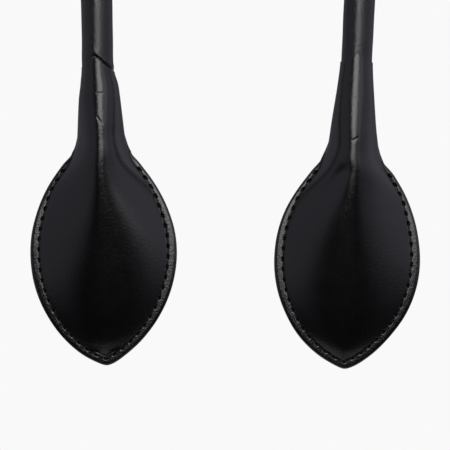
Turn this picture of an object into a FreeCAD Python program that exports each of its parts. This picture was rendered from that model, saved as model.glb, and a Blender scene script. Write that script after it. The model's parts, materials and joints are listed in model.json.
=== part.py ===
import FreeCAD, Part
import math
import os

import Sketcher
from FreeCAD import Placement, Rotation, Vector

# A rolled leather strap that closes in an arch and ends in two leaf-shaped, padded tabs.
# Frame: millimetres, +Z up, the arch in the XZ plane, tab fronts towards -Y, and the
# origin on the strap's centreline at the crown of the arch. Each tab is drawn in a frame
# of its own: origin where the leaf is widest, +Z up its axis, then leaned into place.

doc = FreeCAD.newDocument("leaf_tab_strap")
sheet = doc.addObject("Spreadsheet::Sheet", "Sheet")

DIMENSIONS = {
    # strap
    "cover_radius": 5.0,
    "cover_bore": 3.9,
    "seam_gap": 0.4,
    "core_radius": 3.85,
    "tape_length": 8.0,
    "tape_depth": 0.35,
    "arch_radius": 46.1,
    "left_lean": 1.6,
    "right_lean": 2.7,
    "left_run": 187.7,
    "right_run": 189.5,
    "strap_stop": 39.5,
    "seam_pitch": 5.0,
    "seam_stitch_angle": 30.0,
    "seam_stitch_width": 0.7,
    "seam_stitch_rise": 0.25,
    # tab outline, seen from the front
    "half_width": 23.45,
    "upper_radius": 42.5,
    "left_lower_radius": 40.0,
    "right_lower_radius": 37.6,
    "neck_base": 32.4,
    # tab layers, counted from the flat back forwards
    "back_plane": 6.6,
    "panel_thickness": 1.4,
    "dome_wall": 1.3,
    "flange_width": 3.4,
    "dome_foot": 30.5,
    "filler_foot": 28.5,
    "filler_top": 31.0,
    "filler_slope": 60.0,
    "tongue_half_width": 4.0,
    "tongue_top": 52.0,
    # neck wrap round the strap
    "neck_bore": 5.15,
    "neck_front": 6.4,
    "neck_half_width": 8.3,
    "neck_opening": 3.2,
    "wrap_shoulder": 54.0,
    "wrap_top": 67.0,
    "left_wrap_thickness": 1.0,
    "left_wrap_west": 54.7,
    "left_wrap_apex": 62.6,
    "left_wrap_east": 57.8,
    "left_wrap_middle": -0.7,
    "right_wrap_thickness": 0.5,
    "right_wrap_west": 55.4,
    "right_wrap_apex": 65.5,
    "right_wrap_east": 55.4,
    "right_wrap_middle": 0.3,
    # edge stitching
    "stitch_inset": 2.4,
    "stitch_pitch": 3.35,
    "stitch_top": 29.0,
    "stitch_length": 2.3,
    "stitch_width": 0.7,
    "stitch_height": 0.35,
    "groove_depth": 0.5,
    "groove_width": 1.2,
    "groove_top": 30.4,
}

for row, (alias, value) in enumerate(DIMENSIONS.items(), start=1):
    sheet.set("A%d" % row, alias)
    sheet.set("B%d" % row, str(value))
    sheet.setAlias("B%d" % row, alias)
doc.recompute()


def size(alias):
    return float(getattr(sheet, alias))


# ------------------------------------------------------------ places

SIDES = {"left": -1, "right": 1}


def down(side):
    """Unit vector down a leg of the strap."""
    turn = math.radians(size(side + "_lean"))
    return Vector(-SIDES[side] * math.sin(turn), 0, -math.cos(turn))


def arch_end(side):
    """Where the arch's centreline runs into a leg's, tangent to it."""
    turn = math.radians(size(side + "_lean"))
    radius = size("arch_radius")
    return Vector(SIDES[side] * radius * math.cos(turn), 0, -radius * (1 + math.sin(turn)))


def on_leg(side, height):
    """A place on a leg's axis, height above its tab's widest line."""
    centre = arch_end(side) + down(side) * (size(side + "_run") - height)
    return Placement(centre, Rotation(Vector(0, 1, 0), SIDES[side] * size(side + "_lean")))


# ------------------------------------------------------------ helpers

def new_sketch(body, name):
    sketch = body.newObject("Sketcher::SketchObject", name)
    plane = next(f for f in body.Origin.OriginFeatures if f.Role == "XZ_Plane")
    sketch.AttachmentSupport = [(plane, "")]
    sketch.MapMode = "FlatFace"
    return sketch


def bind(sketch, name, expression, *constraint):
    """Adds a dimension to a sketch and ties it to the spreadsheet."""
    index = sketch.addConstraint(Sketcher.Constraint(*constraint))
    sketch.renameConstraint(index, name)
    sketch.setExpression("Constraints." + name, expression)


def new_body(name):
    body = doc.addObject("PartDesign::Body", name)
    body.Label = name
    return body


def feature(name, shape, placement=Placement()):
    """A sub-part whose shape is worked out in code, in its own frame."""
    made = doc.addObject("Part::Feature", name)
    made.Shape = shape
    made.Placement = placement
    made.Label = name
    return made


# ------------------------------------------------------------ strap

def flat(point):
    """A point of the XZ plane as a point of a sketch on it."""
    return Vector(point.x, point.z, 0)


def spine_sketch(body):
    """Leg, arch and leg: the strap's centreline, stopping inside the two necks."""
    sketch = new_sketch(body, body.Name + "_spine")
    left_end, right_end = (flat(arch_end(s)) for s in SIDES)
    left_foot, right_foot = (flat(on_leg(s, size("strap_stop")).Base) for s in SIDES)
    middle = Vector(0, -size("arch_radius"), 0)
    start = math.atan2(right_end.y - middle.y, right_end.x)
    finish = math.pi - math.atan2(left_end.y - middle.y, -left_end.x)
    circle = Part.Circle(middle, Vector(0, 0, 1), size("arch_radius"))
    sketch.addGeometry(Part.LineSegment(left_foot, left_end))
    sketch.addGeometry(Part.ArcOfCircle(circle, start, finish))
    sketch.addGeometry(Part.LineSegment(right_end, right_foot))
    sketch.addConstraint(Sketcher.Constraint("Tangent", 0, 2, 1, 2))
    sketch.addConstraint(Sketcher.Constraint("Tangent", 1, 1, 2, 1))
    sketch.addConstraint(Sketcher.Constraint("PointOnObject", 1, 3, -2))
    bind(sketch, "crown", "Sheet.arch_radius", "DistanceY", 1, 3, -1, 1, size("arch_radius"))
    bind(sketch, "arch", "Sheet.arch_radius", "Radius", 1, size("arch_radius"))
    for side, line in (("left", 0), ("right", 2)):
        length = size(side + "_run") - size("strap_stop")
        run = "Sheet.%s_run - Sheet.strap_stop" % side
        bind(sketch, side + "_leg", run, "Distance", line, length)
    return sketch


def section_sketch(body):
    """An empty sketch square to the left leg's foot, its X towards the back."""
    sketch = body.newObject("Sketcher::SketchObject", body.Name + "_section")
    foot = on_leg("left", size("strap_stop"))
    along = -down("left")
    across = Vector(0, 1, 0)
    turned = Rotation(across, along.cross(across), along, "ZXY")
    sketch.Placement = Placement(foot.Base, turned)
    return sketch


def sweep(body, section, spine):
    pipe = body.newObject("PartDesign::AdditivePipe", body.Name + "_sweep")
    pipe.Profile = section
    pipe.Spine = (spine, ["Edge1", "Edge2", "Edge3"])
    pipe.Mode = "Standard"
    doc.recompute()
    return pipe


def cover_section(sketch):
    """A ring split by the seam, which faces the back."""
    half = size("seam_gap") / 2
    corners = []
    for index, alias in enumerate(("cover_radius", "cover_bore")):
        radius = size(alias)
        turn = math.asin(half / radius)
        circle = Part.Circle(Vector(0, 0, 0), Vector(0, 0, 1), radius)
        sketch.addGeometry(Part.ArcOfCircle(circle, turn, 2 * math.pi - turn))
        sketch.addConstraint(Sketcher.Constraint("Coincident", index, 3, -1, 1))
        bind(sketch, alias, "Sheet." + alias, "Radius", index, radius)
        corners.append(Vector(radius * math.cos(turn), half, 0))
    for end, sign in ((1, 1), (2, -1)):
        outer, inner = (Vector(c.x, sign * c.y, 0) for c in corners)
        line = sketch.addGeometry(Part.LineSegment(outer, inner))
        sketch.addConstraint(Sketcher.Constraint("Coincident", line, 1, 0, end))
        sketch.addConstraint(Sketcher.Constraint("Coincident", line, 2, 1, end))
        sketch.addConstraint(Sketcher.Constraint("Horizontal", line))
    bind(sketch, "seam", "Sheet.seam_gap", "DistanceY", 0, 2, 0, 1, 2 * half)


def make_rolled_cover():
    body = new_body("rolled_cover")
    section = section_sketch(body)
    cover_section(section)
    sweep(body, section, spine_sketch(body))
    return body


def make_core_tape(side):
    """A ring of tape let into the cord's end."""
    place = on_leg(side, size("strap_stop"))
    rings = []
    radii = {"outside": "Sheet.core_radius", "inside": "Sheet.core_radius - Sheet.tape_depth"}
    for name, radius in radii.items():
        ring = doc.addObject("Part::Cylinder", "%s_tape_%s" % (side, name))
        ring.setExpression("Radius", radius)
        ring.setExpression("Height", "Sheet.tape_length")
        ring.Placement = place
        rings.append(ring)
    tape = doc.addObject("Part::Cut", side + "_core_tape")
    tape.Base, tape.Tool = rings
    tape.Label = side + "_core_tape"
    return tape


def make_rope_core(tapes):
    """The cord, with its ends drawn in where the tape binds them."""
    body = new_body("cord_sweep")
    section = section_sketch(body)
    circle = Part.Circle(Vector(0, 0, 0), Vector(0, 0, 1), size("core_radius"))
    section.addGeometry(circle)
    section.addConstraint(Sketcher.Constraint("Coincident", 0, 3, -1, 1))
    bind(section, "core", "Sheet.core_radius", "Radius", 0, size("core_radius"))
    sweep(body, section, spine_sketch(body))
    both = doc.addObject("Part::MultiFuse", "both_tapes")
    both.Shapes = tapes
    core = doc.addObject("Part::Cut", "rope_core")
    core.Base, core.Tool = body, both
    core.Label = "rope_core"
    return core


def seam_places():
    """Places along the seam, a pitch apart, from the left neck's wrap to the right's."""
    radius = size("arch_radius")
    leans = {s: math.radians(size(s + "_lean")) for s in SIDES}
    legs = {s: size(s + "_run") - size("wrap_top") for s in SIDES}
    arch = radius * (math.pi + sum(leans.values()))
    total = legs["left"] + arch + legs["right"]
    count = int(total / size("seam_pitch"))
    start = (total - (count - 1) * size("seam_pitch")) / 2
    places = []
    for k in range(count):
        along = start + k * size("seam_pitch")
        if along < legs["left"]:
            places.append(on_leg("left", size("wrap_top") + along))
        elif along > legs["left"] + arch:
            places.append(on_leg("right", size("wrap_top") + total - along))
        else:
            turn = (along - legs["left"]) / radius - leans["left"]
            point = Vector(-radius * math.cos(turn), 0, radius * math.sin(turn) - radius)
            places.append(Placement(point, Rotation(Vector(0, 1, 0), math.degrees(turn))))
    return places


def make_seam_stitching():
    """One short length of thread over the seam at each place, lying on the cover."""
    wide, rise = size("seam_stitch_width"), size("seam_stitch_rise")
    angle, radius = size("seam_stitch_angle"), size("cover_radius")
    foot = Vector(0, 0, -wide / 2)
    up = Vector(0, 0, 1)
    stitch = Part.makeCylinder(radius + rise, wide, foot, up, angle)
    stitch = stitch.cut(Part.makeCylinder(radius, wide, foot, up))
    stitch.rotate(Vector(0, 0, 0), up, 90 - angle / 2)
    copies = []
    for place in seam_places():
        copy = stitch.copy()
        copy.Placement = place.multiply(stitch.Placement)
        copies.append(copy)
    return feature("seam_stitching", Part.makeCompound(copies))


# ------------------------------------------------------------ leaf outline

def lower_radius(side):
    return size(side + "_lower_radius")


def half_width(side, height, inset=0.0):
    """Half the leaf's width at a height, inside a margin."""
    radius = size("upper_radius") if height >= 0 else lower_radius(side)
    reach = (radius - inset) ** 2 - height**2
    return size("half_width") - radius + math.sqrt(max(reach, 0.0))


def half_outline(side, inset, top):
    """The right half: tip angle, top angle, and each arc's centre and radius."""
    lower, upper = lower_radius(side), size("upper_radius")
    wide = size("half_width")
    tip = -math.acos((lower - wide) / (lower - inset))
    finish = math.asin(top / (upper - inset))
    return ((wide - lower, lower - inset, tip, 0.0), (wide - upper, upper - inset, 0.0, finish))


def outline_arcs(side, inset, top):
    """The outline's four arcs: low right, low left, high right, high left."""
    arcs = []
    for centre, radius, start, finish in half_outline(side, inset, top):
        for sign in (1, -1):
            if sign < 0:
                start, finish = math.pi - finish, math.pi - start
            circle = Part.Circle(Vector(sign * centre, 0, 0), Vector(0, 0, 1), radius)
            arcs.append(Part.ArcOfCircle(circle, start, finish))
    return arcs


def draw_outline(sketch, side, inset, inset_text, top, top_text):
    """The leaf's two sides as four arcs. Returns the index of the first."""
    first = sketch.GeometryCount
    lower, upper = lower_radius(side) - inset, size("upper_radius") - inset
    for arc in outline_arcs(side, inset, top):
        sketch.addGeometry(arc)
    right_low, left_low, right_high, left_high = range(first, first + 4)
    sketch.addConstraint(Sketcher.Constraint("Coincident", right_low, 1, left_low, 2))
    sketch.addConstraint(Sketcher.Constraint("PointOnObject", right_low, 1, -2))
    sketch.addConstraint(Sketcher.Constraint("Tangent", right_low, 2, right_high, 1))
    sketch.addConstraint(Sketcher.Constraint("Tangent", left_low, 1, left_high, 2))
    for arc in range(first, first + 4):
        sketch.addConstraint(Sketcher.Constraint("PointOnObject", arc, 3, -1))
    for arc, text, radius in (
        (right_low, "Sheet.%s_lower_radius" % side, lower),
        (left_low, "Sheet.%s_lower_radius" % side, lower),
        (right_high, "Sheet.upper_radius", upper),
        (left_high, "Sheet.upper_radius", upper),
    ):
        bind(sketch, "radius_%d" % arc, text + inset_text, "Radius", arc, radius)
    for arc, end in ((right_high, 2), (left_high, 1)):
        bind(sketch, "top_%d" % arc, top_text, "DistanceY", -1, 1, arc, end, top)
    return first


def back_sketch(body, name):
    """A sketch on the tab's flat back."""
    sketch = new_sketch(body, name)
    sketch.setExpression("AttachmentOffset.Base.z", "-Sheet.back_plane")
    return sketch


def make_back_panel(side):
    """The flat back leather: a leaf with a tongue that lies behind the strap."""
    body = new_body(side + "_back_panel")
    sketch = back_sketch(body, side + "_back_outline")
    top, tongue, wide = size("neck_base"), size("tongue_top"), size("tongue_half_width")
    first = draw_outline(sketch, side, 0.0, "", top, "Sheet.neck_base")
    corner = half_width(side, top)
    bounds = [Vector(corner, top, 0), Vector(wide, tongue, 0)]
    bounds += [Vector(-p.x, p.y, 0) for p in reversed(bounds)]
    lines = [sketch.addGeometry(Part.LineSegment(a, b)) for a, b in zip(bounds, bounds[1:])]
    sketch.addConstraint(Sketcher.Constraint("Coincident", first + 2, 2, lines[0], 1))
    sketch.addConstraint(Sketcher.Constraint("Coincident", lines[0], 2, lines[1], 1))
    sketch.addConstraint(Sketcher.Constraint("Coincident", lines[1], 2, lines[2], 1))
    sketch.addConstraint(Sketcher.Constraint("Coincident", lines[2], 2, first + 3, 1))
    sketch.addConstraint(Sketcher.Constraint("Symmetric", lines[1], 1, lines[1], 2, -2))
    bind(sketch, "tongue_top", "Sheet.tongue_top", "DistanceY", -1, 1, lines[1], 1, tongue)
    bind(sketch, "tongue_width", "2 * Sheet.tongue_half_width", "Distance", lines[1], 2 * wide)
    pad = body.newObject("PartDesign::Pad", side + "_back_pad")
    pad.Profile = sketch
    pad.setExpression("Length", "Sheet.panel_thickness")
    doc.recompute()
    whole = body.Shape.Volume
    cut_stitch_groove(body, side)
    if not body.Shape.Volume < whole:
        raise RuntimeError(side + " stitch groove cuts nothing")
    body.Placement = on_leg(side, 0)
    return body


def cut_stitch_groove(body, side):
    """The channel that sinks the stitches below the tab's flat back."""
    sketch = back_sketch(body, side + "_groove_outline")
    inset, half, top = size("stitch_inset"), size("groove_width") / 2, size("groove_top")
    rims = []
    for margin, text in (
        (inset - half, " - Sheet.stitch_inset + Sheet.groove_width / 2"),
        (inset + half, " - Sheet.stitch_inset - Sheet.groove_width / 2"),
    ):
        rims.append(draw_outline(sketch, side, margin, text, top, "Sheet.groove_top"))
    for offset, end, sign in ((2, 2, 1), (3, 1, -1)):
        ends = [Vector(sign * half_width(side, top, m), top, 0) for m in (inset - half, inset + half)]
        line = sketch.addGeometry(Part.LineSegment(*ends))
        for place, rim in enumerate(rims, start=1):
            sketch.addConstraint(Sketcher.Constraint("Coincident", line, place, rim + offset, end))
    pocket = body.newObject("PartDesign::Pocket", side + "_groove")
    pocket.Profile = sketch
    pocket.setExpression("Length", "Sheet.groove_depth")
    pocket.Reversed = True
    doc.recompute()


# ------------------------------------------------------------ domed front

FLANGE_FACE = size("back_plane") - 2 * size("panel_thickness")
PANEL_SEAM = size("back_plane") - size("panel_thickness")

# Sections of the dome's loft, and the shares across each that its crown passes through.
DOME_SECTIONS = 9
CROWN_SHARES = (-1, -0.8, -0.45, 0, 0.45, 0.8, 1)
CROWN_POWER = 0.75
# The ridge rises from a little below the dome's foot, fastest there.
RIDGE_LEAD = 1.5
RIDGE_POWER = 0.8
# The neck where it swells into the dome: drop below its base, and what it loses in width and depth.
NECK_SWELL = ((8.0, 0.2, 1.7), (4.0, -0.1, 0.5), (0.0, 0.0, 0.0))
NECK_WAIST = (0.1, 0.05)
HOLLOW_SWELL = ((3.0, 0.4, 1.2), (-1.0, 0.0, 0.3))
HOLLOW_LEAD = 2.0
CLEAR = 1.0
# The wrap reaches this far below the neck's base, and bears on the strap a little outside it.
WRAP_SKIRT = 12.0
WRAP_BEARING = 0.2
# The gap down the back of the neck.
SLOT_FRONT = 1.0
SLOT_DEPTH = 5.0
SLOT_HEIGHT = 60.0
# A block wider and longer than any tab, for trimming the padding.
BLOCK = 30.0


def bulge(height):
    """How far the dome's ridge stands in front of the flange."""
    foot = size("dome_foot") + RIDGE_LEAD
    share = (height + foot) / (size("neck_base") + foot)
    return (size("neck_front") + FLANGE_FACE) * max(share, 0.0) ** RIDGE_POWER


def dome_section(side, height, margin, base, top):
    """A flat-backed, crowned section across the tab, base and top being Y values."""
    wide = half_width(side, height, margin)
    crown = Part.BSplineCurve()
    points = []
    for share in CROWN_SHARES:
        rise = (1 - share * share) ** CROWN_POWER
        points.append(Vector(share * wide, base + (top - base) * rise, height))
    crown.interpolate(points)
    return Part.Wire([crown.toShape(), Part.LineSegment(points[-1], points[0]).toShape()])


def dome(side, foot, head, wall, base):
    """A loft of crowned sections from foot to head, a wall's thickness inside the skin."""
    sections = []
    for k in range(DOME_SECTIONS):
        height = -foot + (head + foot) * k / (DOME_SECTIONS - 1)
        top = FLANGE_FACE - bulge(height) + wall
        margin = size("flange_width") + wall
        sections.append(dome_section(side, height, margin, base, top))
    return Part.makeLoft(sections, True)


def ellipse_wire(across, deep, height):
    """A level ellipse round the tab's axis; across and deep are its half-sizes."""
    if across > deep:
        shape = Part.Ellipse(Vector(0, 0, height), across, deep).toShape()
    else:
        shape = Part.makeCircle(across, Vector(0, 0, height))
    return Part.Wire([shape])


def neck_outside(side):
    """The neck's solid shape, swelling from the strap into the dome's upper end."""
    base, shoulder = size("neck_base"), size("wrap_shoulder")
    collar = size("neck_bore") + size(side + "_wrap_thickness")
    wide, front = size("neck_half_width"), size("neck_front")
    narrower, flatter = NECK_WAIST
    sections = [ellipse_wire(wide - less, front - thinner, base - drop) for drop, less, thinner in NECK_SWELL]
    sections += [
        ellipse_wire((wide + collar) / 2 - narrower, front - flatter, (base + shoulder) / 2),
        ellipse_wire(collar, collar, shoulder),
        ellipse_wire(collar, collar, size("wrap_top")),
    ]
    neck = Part.makeLoft(sections, True)
    return neck.common(wrap_shape(side))


def wrap_shape(side):
    """The wrap as cut from the flat: a tongue whose top edge runs to an off-centre apex."""
    far = 3 * size("cover_radius")
    low = size("neck_base") - WRAP_SKIRT
    edge = size("cover_radius") + WRAP_BEARING
    tops = {name: size("%s_wrap_%s" % (side, name)) for name in ("west", "apex", "east")}
    middle = size(side + "_wrap_middle")
    fall_west = (tops["apex"] - tops["west"]) / (middle + edge)
    fall_east = (tops["apex"] - tops["east"]) / (edge - middle)
    corners = [
        (-far, low),
        (far, low),
        (far, tops["apex"] - fall_east * (far - middle)),
        (middle, tops["apex"]),
        (-far, tops["apex"] - fall_west * (far + middle)),
    ]
    points = [Vector(x, -far, z) for x, z in corners]
    face = Part.Face(Part.makePolygon(points + points[:1]))
    return face.extrude(Vector(0, far + PANEL_SEAM, 0))


def neck_hollow():
    """The bore that the strap's end sits in, opening into the padding."""
    base, shoulder = size("neck_base"), size("wrap_shoulder")
    bore, wall = size("neck_bore"), size("dome_wall")
    wide = size("neck_half_width") - wall
    sections = [ellipse_wire(wide - less, bore - thinner, base - drop) for drop, less, thinner in HOLLOW_SWELL]
    sections += [
        ellipse_wire((wide + bore) / 2, bore, (base + shoulder) / 2),
        ellipse_wire(bore, bore, shoulder - HOLLOW_LEAD),
        ellipse_wire(bore, bore, size("wrap_top") + CLEAR),
    ]
    return Part.makeLoft(sections, True)


def flange(side):
    """The front leather's flat edge, the whole leaf wide."""
    top = size("neck_base")
    edges = [arc.toShape() for arc in outline_arcs(side, 0.0, top)]
    corner = half_width(side, top)
    edges.append(Part.LineSegment(Vector(corner, top, 0), Vector(-corner, top, 0)).toShape())
    face = Part.Face(Part.Wire(Part.__sortEdges__(edges)))
    face.rotate(Vector(0, 0, 0), Vector(1, 0, 0), 90)
    face.translate(Vector(0, PANEL_SEAM, 0))
    return face.extrude(Vector(0, -size("panel_thickness"), 0))


def cavity(side):
    """What the dome and the neck enclose."""
    padding = dome(side, size("filler_foot"), size("neck_base") - CLEAR, size("dome_wall"), PANEL_SEAM)
    return padding.fuse(neck_hollow())


def make_front_panel(side):
    """Flange, dome and neck wrap: one piece of leather, hollow behind."""
    skin = dome(side, size("dome_foot"), size("neck_base"), 0.0, FLANGE_FACE)
    body = flange(side).multiFuse([skin, neck_outside(side)])
    body = body.cut(cavity(side))
    opening = size("neck_opening")
    corner = Vector(-opening, SLOT_FRONT, size("neck_base"))
    slot = Part.makeBox(2 * opening, SLOT_DEPTH, SLOT_HEIGHT, corner)
    body = body.cut(slot).removeSplitter()
    panel = max(body.Solids, key=lambda solid: solid.Volume)
    return feature(side + "_front_panel", panel, on_leg(side, 0))


def make_filler(side):
    """The padding. Its top is a wedge, so that the neck can fold over it."""
    foot, top = -2 * BLOCK, size("filler_top")
    fall = BLOCK * math.tan(math.radians(size("filler_slope")))
    corners = [(-BLOCK, foot), (BLOCK, foot), (BLOCK, top - fall), (0, top), (-BLOCK, top - fall)]
    points = [Vector(-BLOCK, y, z) for y, z in corners]
    face = Part.Face(Part.makePolygon(points + points[:1]))
    wedge = face.extrude(Vector(2 * BLOCK, 0, 0))
    room = Part.makeBox(2 * BLOCK, BLOCK, 4 * BLOCK, Vector(-BLOCK, PANEL_SEAM - BLOCK, foot))
    solid = cavity(side).common(wedge).common(room)
    return feature(side + "_filler", solid, on_leg(side, 0))


# ------------------------------------------------------------ edge stitching

def stitch_marks(side):
    """Each stitch's place across and up, and its direction, along the right-hand edge."""
    inset, pitch = size("stitch_inset"), size("stitch_pitch")
    arcs = half_outline(side, inset, size("stitch_top"))
    marks, along = [], pitch / 2
    for centre, radius, start, finish in arcs:
        length = radius * (finish - start)
        while along < length:
            turn = start + along / radius
            across, up = centre + radius * math.cos(turn), radius * math.sin(turn)
            marks.append((across, up, turn + math.pi / 2))
            along += pitch
        along -= length
    return marks


def make_edge_stitching(side):
    """Front stitches lying on the flange, back stitches sunk in the groove."""
    length, wide, high = size("stitch_length"), size("stitch_width"), size("stitch_height")
    floors = (FLANGE_FACE - high, size("back_plane") - size("groove_depth"))
    stitches = []
    for across, up, turn in stitch_marks(side):
        for floor in floors:
            for mirrored in (1, -1):
                stitch = Part.makeBox(length, high, wide, Vector(-length / 2, floor, -wide / 2))
                stitch.rotate(Vector(0, 0, 0), Vector(0, 1, 0), -math.degrees(turn) * mirrored)
                stitch.translate(Vector(mirrored * across, 0, up))
                stitches.append(stitch)
    return feature(side + "_edge_stitching", Part.makeCompound(stitches), on_leg(side, 0))


# ------------------------------------------------------------ build and export

tapes = [make_core_tape(side) for side in SIDES]
pieces = [make_rolled_cover(), make_rope_core(tapes), make_seam_stitching()] + tapes
for side in SIDES:
    pieces += [make_back_panel(side), make_front_panel(side), make_filler(side)]
    pieces.append(make_edge_stitching(side))
doc.recompute()

for item in doc.Objects:
    if "Invalid" in item.State or "Error" in item.State:
        raise RuntimeError("%s is %s" % (item.Name, item.State))
for piece in pieces:
    if piece.Shape.isNull() or not piece.Shape.isValid():
        raise RuntimeError("%s has no valid shape" % piece.Label)

os.makedirs("parts", exist_ok=True)
for piece in pieces:
    piece.Shape.exportStep("parts/%s.step" % piece.Label)
    print("%-22s %3d solid(s) %10.1f mm3" % (piece.Label, len(piece.Shape.Solids), piece.Shape.Volume))
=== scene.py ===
import json
import math

import bmesh
import bpy
import numpy as np
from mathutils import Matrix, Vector


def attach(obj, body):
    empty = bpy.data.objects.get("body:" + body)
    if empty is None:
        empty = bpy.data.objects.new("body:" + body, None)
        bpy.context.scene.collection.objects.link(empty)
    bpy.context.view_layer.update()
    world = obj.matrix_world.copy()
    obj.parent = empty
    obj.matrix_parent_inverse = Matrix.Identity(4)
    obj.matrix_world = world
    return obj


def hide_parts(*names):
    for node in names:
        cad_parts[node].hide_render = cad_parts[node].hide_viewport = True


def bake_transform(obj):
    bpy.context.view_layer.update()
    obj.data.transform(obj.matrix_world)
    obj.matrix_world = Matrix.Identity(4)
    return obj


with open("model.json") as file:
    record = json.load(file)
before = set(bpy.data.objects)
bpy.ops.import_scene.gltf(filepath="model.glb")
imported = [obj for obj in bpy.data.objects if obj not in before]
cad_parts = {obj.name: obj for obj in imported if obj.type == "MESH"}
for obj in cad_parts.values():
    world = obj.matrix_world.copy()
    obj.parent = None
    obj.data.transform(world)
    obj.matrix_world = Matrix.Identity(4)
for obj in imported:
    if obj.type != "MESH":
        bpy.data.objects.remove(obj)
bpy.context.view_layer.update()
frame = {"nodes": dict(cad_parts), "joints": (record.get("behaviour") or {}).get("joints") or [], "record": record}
scene = bpy.context.scene
MM = 0.001
SIDES = ("left", "right")

# ---------------------------------------------------------------- camera

# Height and side place of the view's middle, how far off the camera stands, what width it sees.
LEAF_ROW = -0.22604
MIDLINE = -0.00199
DISTANCE = 1.2
VIEW_WIDTH = 0.144
SENSOR = 36.0

camera_data = bpy.data.cameras.new("camera")
camera = bpy.data.objects.new("camera", camera_data)
scene.collection.objects.link(camera)
camera.location = (MIDLINE, -DISTANCE, LEAF_ROW)
camera.rotation_euler = (math.radians(90), 0, 0)
camera_data.sensor_width = SENSOR
camera_data.lens = SENSOR * DISTANCE / VIEW_WIDTH
camera_data.clip_start = 0.05
camera_data.clip_end = 20
scene.camera = camera

# ---------------------------------------------------------------- frames on the two legs

Y = np.array((0.0, 1.0, 0.0))


class Leg:
    """A tab's own frame in millimetres, with its origin where the leaf is widest.

    x runs across, y to the back and z up the leg.
    """

    def __init__(self, side):
        record = frame["record"]
        mount = [m for m in record["mounts"] if m["name"] == side + "_tab_back"][0]
        joint = [j for j in frame["joints"] if j["child"] == side + "_tab"][0]
        self.side = side
        self.foot = np.array((mount["pos_m"][0], 0.0, mount["pos_m"][2]))
        self.across = np.array(joint["axis"])
        self.up = np.cross(self.across, Y)

    def place(self, x, y, z):
        """Local millimetres to metres in the row frame."""
        x, y, z = np.broadcast_arrays(*(np.asarray(v, float) for v in (x, y, z)))
        offset = x[..., None] * self.across + y[..., None] * Y + z[..., None] * self.up
        return self.foot + MM * offset


LEGS = {side: Leg(side) for side in SIDES}

# ---------------------------------------------------------------- sizes, in millimetres

HALF_WIDTH = {"left": 23.55, "right": 23.45}
# Radius of the edge above the widest line and below it, and how blunt and how long the tip is.
UPPER = {"left": 41.3, "right": 42.5}
LOWER = {"left": 40.0, "right": 37.3}
TIP_SOFT = {"left": 1.55, "right": 1.1}
TIP_PULL = 0.44
TIP_DROP = {"left": 0.35, "right": 0.55}
FLANGE = 3.4
# The leaf turns into the neck here, and its edge meets the neck's side in a fillet.
NECK_BASE = 32.4
FILLET = 1.2
COVER = 5.0
COVER_END = 47.5
TONGUE_TOP = 52.0
# Depths behind the strap's middle: the flange's face, the two leathers' joint, the flat back.
FACE = 3.8
SEAM = 5.2
BACK = 6.6
# Edge stitches: from hole to hole, mesh rows to a stitch, height of the last hole.
PITCH = 3.35
HOLE_ROWS = 12
STITCH_TOP = 28.9
HOLE_LONG, HOLE_WIDE, HOLE_DEEP = 0.52, 0.33, 1.2

# Stations up the leg, each (height, value).
# How far the middle of the leaf and neck lies to the right of the leg's line.
SWAY = {
    "left": ((-36, -0.1), (-33, -0.55), (-28, -0.6), (-20, -0.47), (-10, -0.31), (0, -0.14),
             (12, -0.15), (24, -0.23), (29, -0.15), (33, 0.1), (40, 0.1), (50, 0.07), (54, 0.12),
             (57, -0.12), (60, -0.2), (68, -0.1), (76, 0)),
    "right": ((-34.5, 0.85), (-31, 0.3), (-27, -0.05), (-16, 0.1), (-8, 0.14), (0, 0.12),
              (8, 0.03), (16, 0.13), (24, 0.45), (29, 0.5), (33, 0.2), (38, 0.25), (42, 0.1),
              (55, 0.03), (76, 0)),
}
# What the leaf gains on its radius above the widest line.
WIDEN = {
    "left": ((0, 0), (6, 0), (13, -0.17), (19, -0.2), (24, -0.1), (27, 0.05), (29, 0.3),
             (32.4, 0.3)),
    "right": ((0, 0), (8, 0), (14, 0.05), (20, 0.08), (24, 0.18), (26.4, 0.32), (29, 0.6),
              (32.4, 0.5)),
}
# From the edge in to the stitches, and from them to the foot of the dome.
INSET = ((-36, 2.4), (12, 2.4), (15, 2.2), (20, 1.6), (24, 1.35), (29, 1.05), (33, 0.8))
CREASE_GAP = ((-36, 0.6), (12, 0.55), (20, 0.45), (28, 0.3), (32.4, 0.15))
# The neck's section: half width, front, depth of its centre, and how peaked it is (1 is round).
NECK_WIDE = {
    "left": ((30, 10.2), (32.4, 8.95), (34.1, 8.25), (36, 7.88), (38.5, 7.58), (42, 7.28),
             (46, 6.96), (50, 6.6), (53.3, 6.16), (55.2, 5.83), (57.1, 5.42), (59.5, 5.2),
             (64, 5.12)),
    "right": ((30, 10.2), (32.4, 9.2), (34.7, 8.45), (37, 8.05), (40.5, 7.6), (46, 6.95),
              (52, 6.26), (58, 5.63), (62, 5.3), (66, 5.12), (68, 5.03)),
}
NECK_FRONT = {
    "left": ((32.4, 6.12), (36, 6.28), (40, 6.35), (48, 6.15), (55, 5.9), (63, 5.65)),
    "right": ((32.4, 6.12), (36, 6.26), (40, 6.28), (50, 5.9), (58, 5.5), (65, 5.12), (68, 5.06)),
}
NECK_CENTRE = ((32.4, 3.8), (36, 3.4), (43, 1.9), (50, 0.5), (55, 0.0), (68, 0.0))
NECK_POWER = ((32.4, 1.5), (36, 1.45), (43, 1.25), (50, 1.07), (55, 1.0), (68, 1.0))
# Depth of the dome's ridge.
RIDGE = ((-33, 4.2), (-31.5, 3.6), (-29, 2.7), (-24, 1.45), (-18, 0.35), (-10, -0.9), (0, -2.3),
         (8, -3.4), (17, -4.6), (23, -5.32), (28, -5.8), (32, -6.1), (36, -6.28), (40, -6.36))
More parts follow.
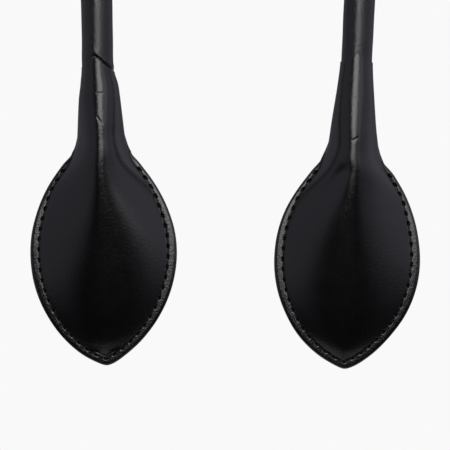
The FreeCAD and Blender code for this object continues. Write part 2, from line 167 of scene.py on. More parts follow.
# How round each flank of the dome is by the ridge, west then east.
TENT = {
    "left": (
        ((-36, 3.0), (-15, 1.5), (-6, 0.8), (2, 0.42), (10, 0.3), (20, 0.26), (33, 0.3)),
        ((-36, 3.0), (-15, 2.2), (0, 1.3), (10, 0.8), (20, 0.4), (33, 0.3)),
    ),
    "right": (
        ((-36, 3.0), (-15, 2.2), (0, 1.5), (10, 0.9), (20, 0.4), (33, 0.3)),
        ((-36, 2.0), (-20, 0.9), (-8, 0.45), (0, 0.32), (10, 0.26), (20, 0.26), (33, 0.3)),
    ),
}
# How far the flange's outer edge falls back from its face.
FLANGE_FALL = ((-34, 0.1), (-24, 0.15), (-10, 0.19), (-2, 0.14), (3, 0.05), (14, 0.03), (20, 0.2),
               (32, 0.3))
# The wrap's cut edge: the turn and height of its highest point, how far it falls to the west and
# to the east of it, and how thick the leather is there in front and behind.
WRAP = {
    "left": dict(middle=-7, apex=62.6, west=3.2, east=4.8, front=0.6, behind=0.12),
    "right": dict(middle=3, apex=66.5, west=3.0, east=3.0, front=0.06, behind=0.06),
}

# Dents in the front leather, each (x, z, half length, half width, degrees from across, depth).
DENTS = {
    "left": (
        (0.2, 51.0, 1.3, 0.2, 0, 0.13),
        (0.0, 42.3, 1.5, 0.25, -58, 0.16),
        (8.2, 23.5, 0.9, 0.3, -60, 0.15),
    ),
    "right": (
        (0.1, 51.8, 1.0, 0.2, 0, 0.1),
        (0.3, 38.9, 1.2, 0.25, 35, 0.13),
        (-6.4, 24.6, 6.5, 2.1, 57, 0.8),
    ),
}


def ease(t):
    """A smooth step from 0 to 1."""
    t = np.clip(t, 0.0, 1.0)
    return t * t * (3 - 2 * t)


def along(stations, z):
    """A smooth curve through the stations, level beyond the first and the last."""
    heights, values = np.array(stations, float).T
    slopes = np.gradient(values, heights)
    slopes[0] = slopes[-1] = 0
    z = np.clip(np.asarray(z, float), heights[0], heights[-1])
    k = np.clip(np.searchsorted(heights, z) - 1, 0, len(heights) - 2)
    step = heights[k + 1] - heights[k]
    t = (z - heights[k]) / step
    a, b = values[k], values[k + 1]
    p, q = slopes[k] * step, slopes[k + 1] * step
    return a + t * p + t * t * (3 * (b - a) - 2 * p - q) + t ** 3 * (2 * (a - b) + p + q)


def rim(side, q, inset):
    """The leaf's right-hand outline at an inset.

    q is 0 at the tip, 1 at the widest line and 2 at the neck.
    """
    q, inset = np.broadcast_arrays(np.asarray(q, float), np.asarray(inset, float))
    lower, upper, wide = LOWER[side], UPPER[side], HALF_WIDTH[side]
    tip = -np.arccos((lower - wide) / (lower - inset))
    top = np.arcsin(NECK_BASE / (upper - inset))
    low = q < 1
    angle = np.where(low, tip * (1 - q), top * (q - 1))
    radius = np.where(low, lower, upper)
    x = wide - radius + (radius - inset) * np.cos(angle)
    z = (radius - inset) * np.sin(angle)
    soft = TIP_SOFT[side] * np.clip(1 - inset / FLANGE, 0, 1)
    z = z + TIP_PULL * (np.sqrt(x * x + soft * soft) - x)
    neck = along(NECK_WIDE[side], NECK_BASE) - 0.55 * np.minimum(inset, 1.0)
    fillet = np.sqrt((x - neck) ** 2 + FILLET * ease((z - 24) / 8))
    x = np.where(z > 20, 0.5 * (x + neck + fillet), x)
    x = x + np.where(z > 0, along(WIDEN[side], z), 0)
    z = z - TIP_DROP[side] * ease((-18 - z) / 16)
    return np.maximum(x, 0.0), z


def inset_at(side, q):
    """How far the stitches lie inside the edge."""
    return along(INSET, rim(side, q, 2.0)[1])


def dent_depth(side, x, z):
    """How far the front leather is pressed in."""
    total = np.zeros(np.broadcast(x, z).shape)
    for cx, cz, long, wide, angle, depth in DENTS[side]:
        c, s = math.cos(math.radians(angle)), math.sin(math.radians(angle))
        u, v = (x - cx) * c + (z - cz) * s, (z - cz) * c - (x - cx) * s
        total += depth * np.exp(-(np.abs(u) / long) ** 4 - (v / wide) ** 2)
    return total


def hole_rows(side):
    """Values of q for the mesh rows, evenly spaced along the stitch line, and for the holes."""
    fine = np.linspace(0, 2, 4001)
    x, z = rim(side, fine, inset_at(side, fine))
    run = np.concatenate(([0], np.cumsum(np.hypot(np.diff(x), np.diff(z)))))
    step = PITCH / HOLE_ROWS
    rows = np.interp(np.arange(0, run[-1], step), run, fine)
    if rows[-1] < 2:
        rows = np.append(rows, 2.0)
    last = int(np.interp(STITCH_TOP, z, run) / PITCH)
    holes = np.interp(np.arange(last + 1) * PITCH, run, fine)
    return rows, holes


# ---------------------------------------------------------------- mesh helpers


def grid_faces(rows, columns, start=0, flip=False):
    """Quads of a grid stored row by row."""
    index = start + np.arange(rows * columns).reshape(rows, columns)
    a, b, c, d = index[:-1, :-1], index[:-1, 1:], index[1:, 1:], index[1:, :-1]
    quads = np.stack((a, b, c, d) if not flip else (d, c, b, a), axis=-1)
    return quads.reshape(-1, 4).tolist()


def loop_strip(outer, inner):
    """Quads between two lists of vertex numbers."""
    return [[outer[k], outer[k + 1], inner[k + 1], inner[k]] for k in range(len(outer) - 1)]


def make_mesh(name, points, faces, masks=None):
    """A welded mesh with its rest place in millimetres kept as an attribute."""
    mesh = bpy.data.meshes.new(name)
    mesh.from_pydata(np.asarray(points).reshape(-1, 3).tolist(), [], faces)
    for label, values in (masks or {}).items():
        layer = mesh.attributes.new(label, "FLOAT", "POINT")
        layer.data.foreach_set("value", np.asarray(values, np.float32).ravel())
    form = bmesh.new()
    form.from_mesh(mesh)
    bmesh.ops.remove_doubles(form, verts=form.verts, dist=2e-7)
    bmesh.ops.dissolve_degenerate(form, edges=form.edges, dist=1e-8)
    bmesh.ops.recalc_face_normals(form, faces=form.faces)
    if form.calc_volume(signed=True) < 0:
        bmesh.ops.reverse_faces(form, faces=form.faces)
    form.to_mesh(mesh)
    form.free()
    mesh.polygons.foreach_set("use_smooth", [True] * len(mesh.polygons))
    places = np.zeros(len(mesh.vertices) * 3, np.float32)
    mesh.vertices.foreach_get("co", places)
    layer = mesh.attributes.new("rest_mm", "FLOAT_VECTOR", "POINT")
    layer.data.foreach_set("vector", places / MM)
    mesh.update()
    piece = bpy.data.objects.new(name, mesh)
    scene.collection.objects.link(piece)
    return piece


def smoothed(values, reach):
    """Values averaged along the first axis with a bell of half width reach, the ends repeated."""
    weights = np.exp(-np.linspace(-2, 2, 4 * reach + 1) ** 2)
    pad = [(2 * reach, 2 * reach)] + [(0, 0)] * (values.ndim - 1)
    padded = np.pad(values, pad, mode="edge")
    count = len(values)
    return sum(w * padded[k:k + count] for k, w in enumerate(weights)) / weights.sum()


def unit(vectors):
    """The vectors at length 1."""
    return vectors / np.maximum(np.linalg.norm(vectors, axis=1, keepdims=True), 1e-9)


def run_along(line):
    """Millimetres from the start of a line in metres to each of its points."""
    steps = np.linalg.norm(np.diff(line, axis=0), axis=1)
    return np.concatenate(([0], np.cumsum(steps))) / MM


def ring_faces(count, sides):
    """Faces of a row of rings, closed by two last points, one for each end."""
    faces = []
    last = (count - 1) * sides
    for k in range(0, last, sides):
        for j in range(sides):
            n = (j + 1) % sides
            faces.append([k + j, k + n, k + sides + n, k + sides + j])
    for j in range(sides):
        n = (j + 1) % sides
        faces.append([count * sides, n, j])
        faces.append([count * sides + 1, last + j, last + n])
    return faces


# ---------------------------------------------------------------- front panels


def dome_share(stations, t, z):
    """How far up the dome a point stands: 1 on its ridge, where t is 0, and 0 at its foot."""
    soft = along(stations, z)
    foot = np.sqrt(1 + soft ** 2)
    tent = (foot - np.sqrt(t * t + soft ** 2)) / (foot - soft)
    round_top = np.maximum(1 - t * t, 0) ** 0.75
    near_neck = 0.12 + 0.88 * ease((z - 20) / 13)
    return tent + (round_top - tent) * near_neck


def neck_top(side, turn):
    """Height of the wrap's cut edge, turn degrees round the neck from the front."""
    cut = WRAP[side]
    away = turn - cut["middle"]
    fall = np.where(away < 0, cut["west"], cut["east"])
    bend = np.sin(np.radians(np.clip(np.abs(away), 0, 90)))
    soft = np.sqrt(bend ** 2 + 0.02 ** 2) - 0.02
    return cut["apex"] - fall * soft - 2.0 * np.clip((np.abs(away) - 90) / 50, 0, 2)


def neck_point(side, turn, z):
    """A point of the neck, turn degrees round it from the front (+ to the right)."""
    wide = along(NECK_WIDE[side], z)
    centre = along(NECK_CENTRE, z)
    depth = centre + along(NECK_FRONT[side], z)
    power = along(NECK_POWER, z)
    s, c = np.sin(np.radians(turn)), np.cos(np.radians(turn))
    return wide * s, centre - depth * np.sign(c) * np.abs(c) ** power


def neck_reach(side, z):
    """The turn at which the wrap meets the back panel's face, or its own other edge."""
    centre = along(NECK_CENTRE, z)
    depth = centre + along(NECK_FRONT[side], z)
    share = np.clip((SEAM - centre) / depth, 0, 0.978)
    return 180 - np.degrees(np.arccos(share ** (1 / along(NECK_POWER, z))))


# Columns of a front panel, from the joint round the cut edge, over the flange to the ridge:
# each edge step is (inset, depth), the others are shares of their stretch.
EDGE_STEPS = ((0.25, 5.2), (0.06, 5.02), (0.0, 4.8), (0.03, 4.62), (0.12, 4.44), (0.28, 4.3))
FLANGE_STEPS = (0.25, 0.38, 0.5, 0.61, 0.71, 0.8, 0.86, 0.91, 0.955, 1.0)
CREASE_STEPS = (0.2, 0.4, 0.6, 0.8, 1.0)
WRAP_COLUMNS = len(EDGE_STEPS) + len(FLANGE_STEPS) + len(CREASE_STEPS)
DOME_STEPS = 46
NECK_STEPS = 120
WALL = 1.25


def front_half(side, way, rows, holes):
    """One half's grid of local points, leaf rows then neck rows, and how much each is a hole."""
    inset = inset_at(side, rows)
    up = rim(side, rows, 2.0)[1]
    gap = along(CREASE_GAP, up)
    sewn = ease((STITCH_TOP + 1.5 - up) / 2.0)
    nearest = np.min(np.abs(rows[:, None] - holes[None, :]), axis=1)
    holes_at = np.exp(-(nearest / np.gradient(rows) * (PITCH / HOLE_ROWS) / HOLE_LONG) ** 6)
    fall = along(FLANGE_FALL, up)
    matt = holes_at * (0.5 + 0.45 * ease((6 - up) / 12))

    def groove(away):
        line = 0.06 * np.exp(-(away / 0.3) ** 2) * sewn * ease((up + 20) / 14)
        return line + HOLE_DEEP * holes_at * np.exp(-(away / HOLE_WIDE) ** 6)

    def pricked(away):
        return matt * np.exp(-(away / (HOLE_WIDE + 0.03)) ** 4)

    columns, mask = [], []
    for margin, depth in EDGE_STEPS:
        x, z = rim(side, rows, margin * np.minimum(1.0, inset / 2.4))
        forward = (0.3 - fall) * ease((4.8 - depth) / 0.5)
        columns.append((x, depth - forward, z))
        mask.append(np.zeros_like(x))
    for share in FLANGE_STEPS:
        x, z = rim(side, rows, inset * share)
        away = inset * (1 - share)
        rise = fall * (1 - share) + 0.03 * max(0.0, (0.42 - share) / 0.17) ** 2
        columns.append((x, FACE + rise + groove(away), z))
        mask.append(pricked(away))
    for share in CREASE_STEPS:
        away = gap * share
        x, z = rim(side, rows, inset + away)
        columns.append((x, FACE + groove(away) - 0.12 * share, z))
        mask.append(pricked(away))
    foot_x, foot_y, foot_z = columns[-1]
    peak = along(RIDGE, foot_z)
    for k in range(1, DOME_STEPS + 1):
        t = math.sin(math.radians(90 * (1 - k / DOME_STEPS)))
        y = foot_y - (foot_y - peak) * dome_share(TENT[side][way > 0], t, foot_z)
        columns.append((foot_x * t, y, foot_z))
        mask.append(np.zeros_like(foot_x))
    leaf = np.array([np.stack(c, axis=-1) for c in columns]).transpose(1, 0, 2)
    mask = np.array(mask).T
    leaf[..., 0] *= way
    # in the neck rows the edge's and flange's columns wrap behind
    ahead = 90 * (1 - np.arange(1, DOME_STEPS + 1) / DOME_STEPS)
    neck = []
    for r in np.arange(1, NECK_STEPS + 1) / NECK_STEPS:
        reach = neck_reach(side, NECK_BASE + r * (neck_top(side, way * 120.0) - NECK_BASE))
        behind = 90 + (reach - 90) * (1 - np.arange(WRAP_COLUMNS) / WRAP_COLUMNS)
        turns = way * np.concatenate((behind, ahead))
        z = NECK_BASE + r * (neck_top(side, turns) - NECK_BASE)
        x, y = neck_point(side, turns, z)
        # the neck takes over from the leaf's last row
        near = 1 - ease((z - NECK_BASE) / 9.0)
        grow = along(NECK_WIDE[side], z) / along(NECK_WIDE[side], NECK_BASE)
        x = x + (leaf[-1, :, 0] * grow - x) * near
        y = y + (leaf[-1, :, 1] - y) * near
        neck.append(np.stack((x, y, z), axis=-1))
    grid = np.concatenate((leaf, np.array(neck)))
    return grid, np.concatenate((mask, np.zeros((NECK_STEPS, mask.shape[1]))))


def close_shell(side, name, outer, inner, masks=None):
    """A mesh from an outer and an inner grid of local points.

    Strips close it at both joint edges and at the top. At the tip the two halves meet on one
    line and are closed only by welding, where their points coincide.
    """
    count, columns = outer.shape[:2]
    total = count * columns
    grids = [LEGS[side].place(*np.moveaxis(grid, -1, 0)) for grid in (outer, inner)]
    points = np.concatenate([grid.reshape(-1, 3) for grid in grids])
    faces = grid_faces(count, columns) + grid_faces(count, columns, total, True)
    index = np.arange(total).reshape(count, columns)
    for edge in (index[:, 0], index[::-1, -1], index[-1, :]):
        faces += loop_strip(edge.tolist(), (edge + total).tolist())
    return make_mesh(name, points, faces, masks)


def joined(west, east):
    """Two halves side by side, sharing the middle column."""
    return np.concatenate((west, east[:, ::-1][:, 1:]), axis=1)


def make_front_panel(side):
    """Flange, dome and neck wrap in one leather, thinned towards the wrap's cut edge."""
    rows, holes = hole_rows(side)
    (west, west_mask), (east, east_mask) = [front_half(side, way, rows, holes) for way in (-1, 1)]
    grid, mask = joined(west, east), joined(west_mask, east_mask)
    turn = np.degrees(np.arctan2(grid[..., 0], -grid[..., 1]))
    below = neck_top(side, turn) - grid[..., 2]
    dome = slice(WRAP_COLUMNS, -WRAP_COLUMNS)
    # the dome runs evenly into the neck
    share = np.exp(-((grid[:, dome, 2] - 27.0) / 12.0) ** 6)
    for axis in (0, 1):
        grid[:, dome, axis] += share * (smoothed(grid[:, dome, axis], 10) - grid[:, dome, axis])
    grid[:, dome, 1] += dent_depth(side, grid[:, dome, 0], grid[:, dome, 2])
    grid[..., 0] += along(SWAY[side], grid[..., 2])
    cut = WRAP[side]
    lip = cut["behind"] + (cut["front"] - cut["behind"]) * ease((turn + 60) / 50)
    wall = lip + (WALL - lip) * ease(below / 14.0)
    # round the neck the wall is measured towards its middle
    middle = np.zeros_like(grid)
    middle[..., 1] = along(NECK_CENTRE, grid[..., 2])
    middle[..., 2] = grid[..., 2]
    spoke = middle - grid
    inner = grid + spoke * (wall / np.maximum(np.linalg.norm(spoke, axis=-1), 1.0))[..., None]
    # on the leaf it is measured straight back, and the flange is solid down to the seam
    flat = grid.copy()
    flat[..., 1] = SEAM
    flat[:, dome, 1] = grid[:, dome, 1] + wall[:, dome]
    share = 1 - ease((grid[..., 2] - NECK_BASE) / 5.0)
    share[: len(rows)] = 1
    inner += (flat - inner) * share[..., None]
    inner[..., 1] = np.minimum(inner[..., 1], SEAM)
    both = np.concatenate((mask.ravel(), np.zeros(mask.size)))
    return close_shell(side, side + "_front_leather", grid, inner, {"hole": both})


# ---------------------------------------------------------------- back panels


# Columns of a back panel: its rounded edge as (inset, depth), shares of the stitches' inset,
# and the count of flat columns to the middle.
BACK_EDGE = ((0.5, SEAM), (0.1, SEAM + 0.08), (0.0, SEAM + 0.5), (0.05, BACK - 0.35),
             (0.25, BACK - 0.1), (0.6, BACK))
WIDEST = 2
BACK_STEPS = (0.5, 0.72, 0.84, 0.92, 1.0, 1.08, 1.16, 1.3, 1.6)
FLAT_STEPS = 14
TONGUE_STEPS = 44


def make_back_panel(side):
    """Flat leaf with rounded edges, a sunk line for the stitches and a tongue behind the neck."""
    rows = hole_rows(side)[0][::2]
    if rows[-1] < 2:
        rows = np.append(rows, 2.0)
    inset = inset_at(side, rows)
    up = rim(side, rows, 2.0)[1]
    sewn = ease((STITCH_TOP + 1.5 - up) / 2.0)
    halves = []
    for way in (-1, 1):
        columns = []
        for margin, depth in BACK_EDGE:
            x, z = rim(side, rows, margin * np.minimum(1, inset / 2.4))
            columns.append((x, np.full_like(x, depth), z))
        for share in BACK_STEPS:
            x, z = rim(side, rows, inset * share)
            sunk = 0.32 * np.exp(-(inset * (share - 1) / 0.42) ** 2) * sewn
            columns.append((x, BACK - sunk, z))
        for k in range(1, FLAT_STEPS + 1):
            flat = x * (1 - k / FLAT_STEPS)
            columns.append((flat, np.full_like(flat, BACK), z))
        leaf = np.array([np.stack(c, axis=-1) for c in columns]).transpose(1, 0, 2)
        base = leaf[-1, WIDEST, 0]
        width, depth = leaf[-1, :, 0] / base, leaf[-1, :, 1]
        tongue = []
        for r in np.arange(1, TONGUE_STEPS + 1) / TONGUE_STEPS:
            z = NECK_BASE + r * (TONGUE_TOP - NECK_BASE)
            wide = min(float(along(NECK_WIDE[side], z)) - 0.6, 9.0 - 5.0 * r)
            wide = wide + (base - wide) * math.exp((NECK_BASE - z) / 1.1)
            tip = math.sqrt(max(0.0, 1 - max(0.0, (r - 0.9) / 0.1) ** 2 * 0.75))
            tongue.append(np.stack((width * wide * tip, depth, np.full_like(width, z)), axis=-1))
        grid = np.concatenate((leaf, np.array(tongue)))
        grid[..., 0] *= way
        halves.append(grid)
    grid = joined(*halves)
    grid[..., 0] += along(SWAY[side], grid[..., 2])
    inner = grid.copy()
    inner[..., 1] = SEAM
    # under the rounded edge the joint face starts at its first column
    for axis in (0, 2):
        inner[:, 1:5, axis] = grid[:, 0:1, axis]
        inner[:, -5:-1, axis] = grid[:, -1:, axis]
    return close_shell(side, side + "_back_leather", grid, inner)


# ---------------------------------------------------------------- threads


THREAD_SIDES = 8
STITCH_POINTS = 9
# Radii of the two threads.
EDGE_THREAD, SEAM_THREAD = 0.22, 0.26


def add_tube(points, faces, path, radius):
    """Adds rings round a path, closed by a point at each end, to the points and faces."""
    ahead = unit(np.gradient(path, axis=0))
    side = unit(np.cross(ahead, Y))
    other = np.cross(side, ahead)
    turn = np.arange(THREAD_SIDES) * 2 * math.pi / THREAD_SIDES
    radius = np.broadcast_to(radius, (len(path),))
    rings = path[:, None] + radius[:, None, None] * (
        np.cos(turn)[None, :, None] * side[:, None] + np.sin(turn)[None, :, None] * other[:, None])
    faces += [[n + len(points) for n in face] for face in ring_faces(len(path), THREAD_SIDES)]
    points += rings.reshape(-1, 3).tolist() + [path[0].tolist(), path[-1].tolist()]


def make_edge_stitching(side):
    """One thread from each hole to the next, front and back."""
    holes = hole_rows(side)[1]
    lift = np.sin(np.pi * np.linspace(0, 1, STITCH_POINTS)) ** 0.6
    thick = EDGE_THREAD * (0.75 + 0.25 * lift)
    points, faces = [], []
    for way in (-1, 1):
        for a, b in zip(holes, holes[1:]):
            q = a + (b - a) * np.linspace(0.07, 0.93, STITCH_POINTS)
            x, z = rim(side, q, inset_at(side, q))
            x = way * x + along(SWAY[side], z)
            for y in (FACE + 0.5 - 0.38 * lift, BACK - 0.5 + 0.28 * lift):
                add_tube(points, faces, LEGS[side].place(x, y, z), thick * MM)
    return make_mesh(side + "_edge_thread", points, faces)


# ---------------------------------------------------------------- the strap


FINE_RUN = 20 * MM
FINE_STEP = 0.28 * MM


def stretch(low, high, step):
    """Points up a straight stretch, closer together by the neck."""
    length = np.linalg.norm(high - low)
    near = np.arange(0, FINE_RUN, FINE_STEP)
    rest = np.linspace(FINE_RUN, length, int((length - FINE_RUN) / step))
    return [low + (high - low) * run / length for run in np.concatenate((near, rest))]


def strap_line(step):
    """The strap's centreline, from inside the left neck over the arch to inside the right neck."""
    left, right = LEGS["left"], LEGS["right"]
    drop = np.dot(left.foot, left.across)
    lean = left.up[0]
    radius = -drop / (1 - lean)
    centre = np.array((0, 0, -radius))
    start = left.place(0, 0, COVER_END)
    finish = right.place(0, 0, COVER_END)
    a, b = centre - radius * left.across, centre + radius * right.across
    first = math.atan2(a[2] - centre[2], a[0] - centre[0]) % (2 * math.pi)
    last = math.atan2(b[2] - centre[2], b[0] - centre[0])
    points = stretch(start, a, step)[:-1]
    turns = np.linspace(first, last, int(abs(last - first) * radius / step), False)
    points += [centre + radius * np.array((math.cos(t), 0, math.sin(t))) for t in turns]
    points += stretch(finish, b, step)[::-1]
    points = np.array(points)
    for leg in (left, right):
        height = np.sum((points - leg.foot) * leg.up, axis=1) / MM
        away = np.sum((points - leg.foot) * leg.across, axis=1) / MM
        shift = np.where(np.abs(away) < 3, along(SWAY[leg.side], height), 0)
        points = points + MM * shift[:, None] * leg.across
    return points


RING = 72
SEAM_DEPTH = 0.75


def make_cover():
    """The rolled leather, with its seam sunk along the back and a slight unevenness."""
    line = strap_line(0.8 * MM)
    side = np.cross(unit(np.gradient(line, axis=0)), Y)
    run = run_along(line)
    turn = np.arange(RING) * 2 * math.pi / RING - math.pi / 2
    away = np.abs((turn - math.pi / 2 + math.pi) % (2 * math.pi) - math.pi) * COVER
    dip = SEAM_DEPTH * np.exp(-(away / 0.34) ** 2) - 0.08 * np.exp(-((away - 0.9) / 0.6) ** 2)
    wobble = 0.035 * np.sin(run[:, None] * 0.21 + 2 * turn[None, :])
    wobble = wobble + 0.02 * np.sin(run[:, None] * 0.53 + turn)
    radius = COVER - 0.04 * np.sign(line[:, :1]) - dip[None, :] + wobble
    ends = np.minimum(run, run[-1] - run)
    radius = radius * (0.7 + 0.3 * ease(ends / 1.5))[:, None]
    # pressed in along the left wrap's cut edge and pushed up just above it
    left = LEGS["left"]
    height = np.sum((line - left.foot) * left.up, axis=1)[:, None] / MM
    front = (90 - np.degrees(turn)[None, :]) % 360 - 180
    above = height - neck_top("left", front)
    on_cut = ease((front + 22) / 15) * ease((100 - front) / 15) * (line[:, :1] < 0)
    swell = 0.16 * np.exp(-((above - 1.6) / 0.9) ** 2)
    press = 0.24 * np.exp(-((above - 0.1) / 0.7) ** 2)
    radius += on_cut * (swell - press)
    rings = line[:, None] + MM * radius[..., None] * (
        np.cos(turn)[None, :, None] * side[:, None] + np.sin(turn)[None, :, None] * Y)
    points = rings.reshape(-1, 3).tolist() + [line[0].tolist(), line[-1].tolist()]
    return make_mesh("rolled_leather", points, ring_faces(len(line), RING))


SEAM_PITCH = 5.0
FIRST_STITCH = 6.0


def make_seam_thread():
    """Slanting stitches over the seam at the back."""
    line = strap_line(0.25 * MM)
    run = run_along(line)
    offsets = np.linspace(-1, 1, 11)
    turn = offsets * 1.9 / COVER
    lift = COVER + 0.05 - 0.7 * np.abs(offsets) ** 4

    def at(runs):
        return np.stack([np.interp(runs, run, line[:, k]) for k in range(3)], axis=-1)

    points, faces = [], []
    middle = FIRST_STITCH
    while middle < run[-1] - 5:
        centre = at(middle + offsets)
        side = np.cross(unit(at(middle + offsets + 0.5) - centre), Y)
        out = np.sin(turn)[:, None] * side + np.cos(turn)[:, None] * Y
        add_tube(points, faces, centre + MM * lift[:, None] * out, SEAM_THREAD * MM)
        middle += SEAM_PITCH
    return make_mesh("seam_thread", points, faces)


# ---------------------------------------------------------------- materials


def material(name):
    made = bpy.data.materials.new(name)
    made.use_nodes = True
    return made, made.node_tree.nodes, made.node_tree.links


def attribute(nodes, name, output):
    node = nodes.new("ShaderNodeAttribute")
    node.attribute_name = name
    return node.outputs[output]


def rest_place(nodes):
    """A made mesh's rest coordinates in millimetres."""
    return attribute(nodes, "rest_mm", "Vector")


def object_place(nodes, links):
    """A CAD node's own coordinates in millimetres."""
    source = nodes.new("ShaderNodeTexCoord")
    scale = nodes.new("ShaderNodeVectorMath")
    scale.operation = "SCALE"
    scale.inputs["Scale"].default_value = 1 / MM
    links.new(source.outputs["Object"], scale.inputs[0])
    return scale.outputs[0]


def noise(nodes, links, where, scale, detail=3.0, rough=0.5):
    node = nodes.new("ShaderNodeTexNoise")
    node.inputs["Scale"].default_value = scale
    node.inputs["Detail"].default_value = detail
    node.inputs["Roughness"].default_value = rough
    links.new(where, node.inputs["Vector"])
    return node.outputs["Fac"]


def math_node(nodes, links, operation, a, b):
    node = nodes.new("ShaderNodeMath")
    node.operation = operation
    for socket, value in zip(node.inputs, (a, b)):
        if hasattr(value, "default_value"):
            links.new(value, socket)
        else:
            socket.default_value = value
    return node.outputs[0]


def mapped(nodes, links, source, start, end, low, high, kind="LINEAR"):
    """A step from low to high while the source goes from start to end."""
    node = nodes.new("ShaderNodeMapRange")
    node.interpolation_type = kind
    for name, value in (("From Min", start), ("From Max", end), ("To Min", low), ("To Max", high)):
        node.inputs[name].default_value = value
    links.new(source, node.inputs["Value"])
    return node.outputs[0]


def paint(nodes, links, factor, first, second):
    """Gives the shader a base colour that runs from the first to the second."""
    colour = nodes.new("ShaderNodeMix")
    colour.data_type = "RGBA"
    links.new(factor, colour.inputs["Factor"])
    colour.inputs["A"].default_value = (*first, 1)
    colour.inputs["B"].default_value = (*second, 1)
    links.new(colour.outputs["Result"], nodes["Principled BSDF"].inputs["Base Color"])


def bumped(nodes, links, height, depth, strength=1.0):
    """A bump of so many millimetres."""
    bump = nodes.new("ShaderNodeBump")
    bump.inputs["Strength"].default_value = strength
    bump.inputs["Distance"].default_value = depth * MM
    links.new(height, bump.inputs["Height"])
    return bump


def leather(name, tone, gloss, grain, holes=False):
    """Grained leather; where it has stitch holes, they are matt."""
    made, nodes, links = material(name)
    shader = nodes["Principled BSDF"]
    where = rest_place(nodes)
    spots = noise(nodes, links, where, 0.25, 4)
    rough = mapped(nodes, links, spots, 0.3, 0.7, gloss - 0.01, gloss + 0.02)
    if holes:
        rough = math_node(nodes, links, "MAXIMUM", rough, attribute(nodes, "hole", "Fac"))
    links.new(rough, shader.inputs["Roughness"])
    dark, light = (tone * 0.8, tone * 0.8, tone * 0.85), (tone * 1.25, tone * 1.2, tone * 1.3)
    paint(nodes, links, noise(nodes, links, where, 0.6, 4), dark, light)
    cells = nodes.new("ShaderNodeTexVoronoi")
    cells.feature = "SMOOTH_F1"
    cells.inputs["Scale"].default_value = 1.8
    links.new(where, cells.inputs["Vector"])
    fine = noise(nodes, links, where, 2.8, 3, 0.6)
    height = math_node(nodes, links, "ADD", cells.outputs["Distance"], fine)
    bump = bumped(nodes, links, height, grain)
    broad = bumped(nodes, links, noise(nodes, links, where, 0.35, 2), 0.005)
    links.new(broad.outputs["Normal"], bump.inputs["Normal"])
    links.new(bump.outputs["Normal"], shader.inputs["Normal"])
    shader.inputs["Specular IOR Level"].default_value = 0.5
    shader.inputs["IOR"].default_value = 1.5
    return made


def thread_material(name, tone):
    """Twisted thread."""
    made, nodes, links = material(name)
    shader = nodes["Principled BSDF"]
    wave = nodes.new("ShaderNodeTexWave")
    wave.wave_type = "BANDS"
    wave.bands_direction = "DIAGONAL"
    wave.inputs["Scale"].default_value = 1.2
    wave.inputs["Distortion"].default_value = 1.0
    links.new(rest_place(nodes), wave.inputs["Vector"])
    dark, light = (tone * 0.6, tone * 0.6, tone * 0.65), (tone * 1.4, tone * 1.4, tone * 1.45)
    paint(nodes, links, wave.outputs["Fac"], dark, light)
    bump = bumped(nodes, links, wave.outputs["Fac"], 0.06)
    links.new(bump.outputs["Normal"], shader.inputs["Normal"])
    shader.inputs["Roughness"].default_value = 0.65
    shader.inputs["Specular IOR Level"].default_value = 0.15
    return made


def fibre_material(name, dark, light, scale, depth, rough):
    """Cord, tape or felt, for a CAD node."""
    made, nodes, links = material(name)
    shader = nodes["Principled BSDF"]
    wave = nodes.new("ShaderNodeTexWave")
    wave.inputs["Scale"].default_value = scale
    wave.inputs["Distortion"].default_value = 4.0
    wave.inputs["Detail"].default_value = 3.0
    links.new(object_place(nodes, links), wave.inputs["Vector"])
    paint(nodes, links, wave.outputs["Fac"], dark, light)
    bump = bumped(nodes, links, wave.outputs["Fac"], depth, 0.8)
    links.new(bump.outputs["Normal"], shader.inputs["Normal"])
    shader.inputs["Roughness"].default_value = rough
    return made


black = leather("black_leather", 0.002, 0.2, 0.08)
panel_black = leather("panel_leather", 0.002, 0.2, 0.028, holes=True)
backing = leather("back_leather", 0.010, 0.42, 0.05)
thread = thread_material("black_thread", 0.005)
cord = fibre_material("cord", (0.42, 0.36, 0.26), (0.62, 0.56, 0.44), 0.6, 0.3, 0.85)
tape = fibre_material("tape", (0.02, 0.02, 0.022), (0.05, 0.05, 0.055), 1.4, 0.05, 0.6)
felt = fibre_material("felt", (0.18, 0.17, 0.16), (0.3, 0.29, 0.27), 1.1, 0.2, 0.95)

# ---------------------------------------------------------------- pieces


def dress(piece, look):
    piece.data.materials.clear()
    piece.data.materials.append(look)
    return piece


cover = dress(make_cover(), black)
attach(cover, "strap")
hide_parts("rolled_cover")
seam = dress(make_seam_thread(), thread)
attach(seam, "strap")
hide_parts("seam_stitching")

for side in SIDES:
    bend_from, bend_to = LEGS[side].place(0, 0, 52), LEGS[side].place(0, 0, 24)
    made = (
        (make_front_panel(side), "front_panel", panel_black, "black_leather"),
        (make_back_panel(side), "back_panel", backing, "back_leather"),
        (make_edge_stitching(side), "edge_stitching", thread, "thread"),
    )
    for piece, node, look, slot in made:
        dress(piece, look)
        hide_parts(side + "_" + node)
        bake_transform(piece)

HIDDEN = {"rope_core": cord, "left_core_tape": tape, "right_core_tape": tape,
          "left_filler": felt, "right_filler": felt}
for name, look in HIDDEN.items():
    slots = frame["nodes"][name].material_slots
    for slot in slots:
        slot.material = look
    if not slots:
        frame["nodes"][name].data.materials.append(look)

# ---------------------------------------------------------------- floor and light

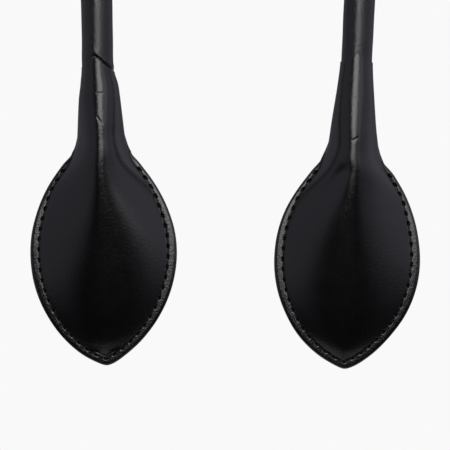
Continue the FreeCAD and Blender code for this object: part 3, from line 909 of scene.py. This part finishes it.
FLOOR = -0.53
FLOOR_RADIUS = 0.35
floor_mesh = bpy.data.meshes.new("floor")
form = bmesh.new()
bmesh.ops.create_circle(form, cap_ends=True, segments=96, radius=FLOOR_RADIUS)
form.to_mesh(floor_mesh)
form.free()
floor = bpy.data.objects.new("floor", floor_mesh)
floor.location = (0, 0.05, FLOOR)
scene.collection.objects.link(floor)
floor_look, nodes, links = material("floor")
nodes["Principled BSDF"].inputs["Base Color"].default_value = (0.75, 0.75, 0.74, 1)
nodes["Principled BSDF"].inputs["Roughness"].default_value = 0.8
floor_mesh.materials.append(floor_look)


# How far the softboxes stand before the strap.
REACH = 0.7


def front_card(name, low, high, level):
    """An upright softbox of even radiance, between corners given as tangents across and up."""
    left, right = low[0] * REACH, high[0] * REACH
    bottom, top = LEAF_ROW + low[1] * REACH, LEAF_ROW + high[1] * REACH
    data = bpy.data.lights.new(name, "AREA")
    data.shape = "RECTANGLE"
    data.size, data.size_y = right - left, top - bottom
    data.energy = level * math.pi * (right - left) * (top - bottom)
    lamp = bpy.data.objects.new(name, data)
    lamp.location = ((left + right) / 2, -REACH, (bottom + top) / 2)
    lamp.rotation_euler = Vector((0, 1, 0)).to_track_quat("-Z", "Y").to_euler()
    lamp.visible_camera = False
    scene.collection.objects.link(lamp)


front_card("front_box", (-0.22, -0.025), (0.27, 1.0), 4.8)
front_card("front_fill", (0.28, -0.02), (0.95, 1.0), 1.0)

# The camera sees an even white; the leather is lit by a dark room with pale walls.
world = bpy.data.worlds.new("studio")
scene.world = world
world.use_nodes = True
nodes, links = world.node_tree.nodes, world.node_tree.links
nodes.clear()
output = nodes.new("ShaderNodeOutputWorld")
seen = nodes.new("ShaderNodeBackground")
seen.inputs["Color"].default_value = (0.947, 0.947, 0.947, 1)
lit = nodes.new("ShaderNodeBackground")
lit.inputs["Color"].default_value = (0.87, 0.845, 1.0, 1)
path = nodes.new("ShaderNodeLightPath")
mix = nodes.new("ShaderNodeMixShader")
where = nodes.new("ShaderNodeTexCoord")
split = nodes.new("ShaderNodeSeparateXYZ")
links.new(where.outputs["Generated"], split.inputs[0])


def ramp(source, start, end, low, high):
    """A smooth step of one direction coordinate."""
    return mapped(nodes, links, source, start, end, low, high, "SMOOTHSTEP")


def times(a, b):
    return math_node(nodes, links, "MULTIPLY", a, b)


def plus(a, b):
    return math_node(nodes, links, "ADD", a, b)


across, back, up = split.outputs
on_left = times(ramp(across, -0.66, -0.38, 1, 0), ramp(up, -0.42, -0.12, 0.08, 1))
on_right = times(ramp(across, 0.4, 0.76, 0, 1), ramp(up, -0.36, 0.05, 0.1, 1))
sides = plus(times(on_left, 0.46), times(on_right, 0.76))
behind = times(ramp(back, 0.2, 0.85, 0, 1), 0.2)
ceiling = times(ramp(up, 0.5, 0.9, 0, 1), 0.5)
low_rear = times(ramp(back, 0.45, 0.9, 0, 1), ramp(up, -0.2, -0.04, 0.9, 0))
level = plus(times(sides, ramp(back, 0.2, 0.85, 1, 0)), plus(behind, ceiling))
level = plus(plus(level, low_rear), 0.004)
links.new(level, lit.inputs["Strength"])
links.new(path.outputs["Is Camera Ray"], mix.inputs[0])
links.new(lit.outputs[0], mix.inputs[1])
links.new(seen.outputs[0], mix.inputs[2])
links.new(mix.outputs[0], output.inputs["Surface"])

scene.view_settings.view_transform = "Standard"
